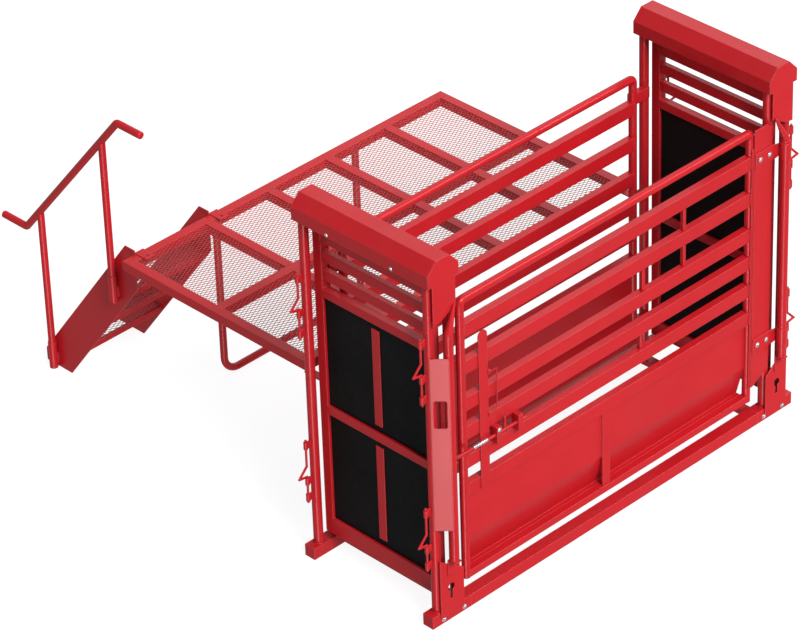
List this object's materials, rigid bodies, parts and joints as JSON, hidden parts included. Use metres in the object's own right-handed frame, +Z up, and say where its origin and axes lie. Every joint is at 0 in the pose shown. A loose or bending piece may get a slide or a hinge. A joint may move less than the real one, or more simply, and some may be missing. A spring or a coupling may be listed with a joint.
{
  "type": "cattle chute",
  "caption": "Steel livestock chute with sliding end gates, a barred side gate on a hinge post, a raised operator platform, steps and a lift-out handrail.",
  "frame": {"origin": "centre of the plan box, on the ground", "axes": "+X from the stairs and platform towards the side gate, +Y along the alley from the near end to the far end, +Z up"},
  "size_m": [3.2688, 2.5966, 1.98],
  "materials": {
    "red_paint": "glossy, lightly worn",
    "deck_red": "glossy, worn by boots",
    "board_black": "satin",
    "zinc_steel": "zinc plated"
  },
  "bodies": {
    "frame": {"base_rails": "red_paint", "end_feet": "red_paint", "near_posts": "red_paint", "far_posts": "red_paint", "cross_beams": "red_paint", "near_hood": "red_paint", "far_hood": "red_paint", "end_cover_plates": "red_paint", "gate_tracks": "zinc_steel", "hood_rails": "red_paint", "foot_plates": "red_paint", "latch_post": "red_paint", "hinge_post": "red_paint", "post_caps": "red_paint", "guard_plate": "red_paint", "pin_lugs": "red_paint", "left_wall_frame": "red_paint", "left_wall_rails": "red_paint", "left_wall_sheet": "red_paint", "wall_brackets": "red_paint", "platform_edge_beams": "red_paint", "platform_joists": "red_paint", "platform_mesh": "deck_red", "platform_leg": "red_paint", "platform_brackets": "red_paint", "stair_stringers": "red_paint", "stair_treads": "red_paint", "handrail_sockets": "red_paint", "frame_bolts": "zinc_steel", "latch_keeper": "red_paint"},
    "side_gate": {"side_gate_frame": "red_paint", "side_gate_rails": "red_paint", "side_gate_sheet": "red_paint", "hinge_end_plate": "red_paint", "hinge_straps": "red_paint", "gate_stiffener": "red_paint", "gate_spacers": "red_paint", "bolt_guides": "red_paint"},
    "bolt": {"latch_bolt": "red_paint"},
    "near_gate": {"near_gate_frame": "red_paint", "near_gate_louvres": "red_paint", "near_gate_boards": "board_black", "near_gate_hangers": "red_paint"},
    "far_gate": {"far_gate_frame": "red_paint", "far_gate_louvres": "red_paint", "far_gate_boards": "board_black", "far_gate_hangers": "red_paint"},
    "near_roller_left_body": {"near_roller_left": "zinc_steel"},
    "near_roller_right_body": {"near_roller_right": "zinc_steel"},
    "far_roller_left_body": {"far_roller_left": "zinc_steel"},
    "far_roller_right_body": {"far_roller_right": "zinc_steel"},
    "handrail_body": {"handrail": "red_paint"},
    "near_left_upper_pin_body": {"near_left_upper_pin": "red_paint"},
    "near_left_lower_pin_body": {"near_left_lower_pin": "red_paint"},
    "near_right_upper_pin_body": {"near_right_upper_pin": "red_paint"},
    "near_right_lower_pin_body": {"near_right_lower_pin": "red_paint"},
    "far_left_upper_pin_body": {"far_left_upper_pin": "red_paint"},
    "far_left_lower_pin_body": {"far_left_lower_pin": "red_paint"},
    "far_right_upper_pin_body": {"far_right_upper_pin": "red_paint"},
    "far_right_lower_pin_body": {"far_right_lower_pin": "red_paint"}
  },
  "joints": [
    {"name": "side_gate_hinge", "type": "hinge", "parent": "frame", "child": "side_gate", "pos_m": [1.60687, 1.13, 1.002], "axis": [0, 0, 1], "range_deg": [0, 135]},
    {"name": "bolt_slide", "type": "slide", "parent": "side_gate", "child": "bolt", "axis": [0, -1, 0], "range_m": [0, 0.028]},
    {"name": "near_gate_slide", "type": "slide", "parent": "frame", "child": "near_gate", "axis": [-1, 0, 0], "range_m": [0, 0.68]},
    {"name": "near_roller_left_turn", "type": "hinge", "parent": "near_gate", "child": "near_roller_left_body", "pos_m": [1.44087, -1.13, 1.8813], "axis": [0, -1, 0], "continuous": true},
    {"name": "near_roller_right_turn", "type": "hinge", "parent": "near_gate", "child": "near_roller_right_body", "pos_m": [1.50087, -1.13, 1.8813], "axis": [0, -1, 0], "continuous": true},
    {"name": "far_gate_slide", "type": "slide", "parent": "frame", "child": "far_gate", "axis": [-1, 0, 0], "range_m": [0, 0.68]},
    {"name": "far_roller_left_turn", "type": "hinge", "parent": "far_gate", "child": "far_roller_left_body", "pos_m": [1.44087, 1.13, 1.8813], "axis": [0, -1, 0], "continuous": true},
    {"name": "far_roller_right_turn", "type": "hinge", "parent": "far_gate", "child": "far_roller_right_body", "pos_m": [1.50087, 1.13, 1.8813], "axis": [0, -1, 0], "continuous": true},
    {"name": "handrail_lift", "type": "slide", "parent": "frame", "child": "handrail_body", "axis": [0, 0, 1], "range_m": [0, 0.16]},
    {"name": "near_left_upper_pin_lift", "type": "slide", "parent": "frame", "child": "near_left_upper_pin_body", "axis": [0, 0, 1], "range_m": [0, 0.07]},
    {"name": "near_left_lower_pin_lift", "type": "slide", "parent": "frame", "child": "near_left_lower_pin_body", "axis": [0, 0, 1], "range_m": [0, 0.07]},
    {"name": "near_right_upper_pin_lift", "type": "slide", "parent": "frame", "child": "near_right_upper_pin_body", "axis": [0, 0, 1], "range_m": [0, 0.07]},
    {"name": "near_right_lower_pin_lift", "type": "slide", "parent": "frame", "child": "near_right_lower_pin_body", "axis": [0, 0, 1], "range_m": [0, 0.07]},
    {"name": "far_left_upper_pin_lift", "type": "slide", "parent": "frame", "child": "far_left_upper_pin_body", "axis": [0, 0, 1], "range_m": [0, 0.07]},
    {"name": "far_left_lower_pin_lift", "type": "slide", "parent": "frame", "child": "far_left_lower_pin_body", "axis": [0, 0, 1], "range_m": [0, 0.07]},
    {"name": "far_right_upper_pin_lift", "type": "slide", "parent": "frame", "child": "far_right_upper_pin_body", "axis": [0, 0, 1], "range_m": [0, 0.07]},
    {"name": "far_right_lower_pin_lift", "type": "slide", "parent": "frame", "child": "far_right_lower_pin_body", "axis": [0, 0, 1], "range_m": [0, 0.07]}
  ],
  "couplings": [
    {"joint": "near_roller_left_turn", "follows": "near_gate_slide", "rad_per_m": 62.5},
    {"joint": "near_roller_right_turn", "follows": "near_gate_slide", "rad_per_m": 62.5},
    {"joint": "far_roller_left_turn", "follows": "far_gate_slide", "rad_per_m": 62.5},
    {"joint": "far_roller_right_turn", "follows": "far_gate_slide", "rad_per_m": 62.5}
  ]
}
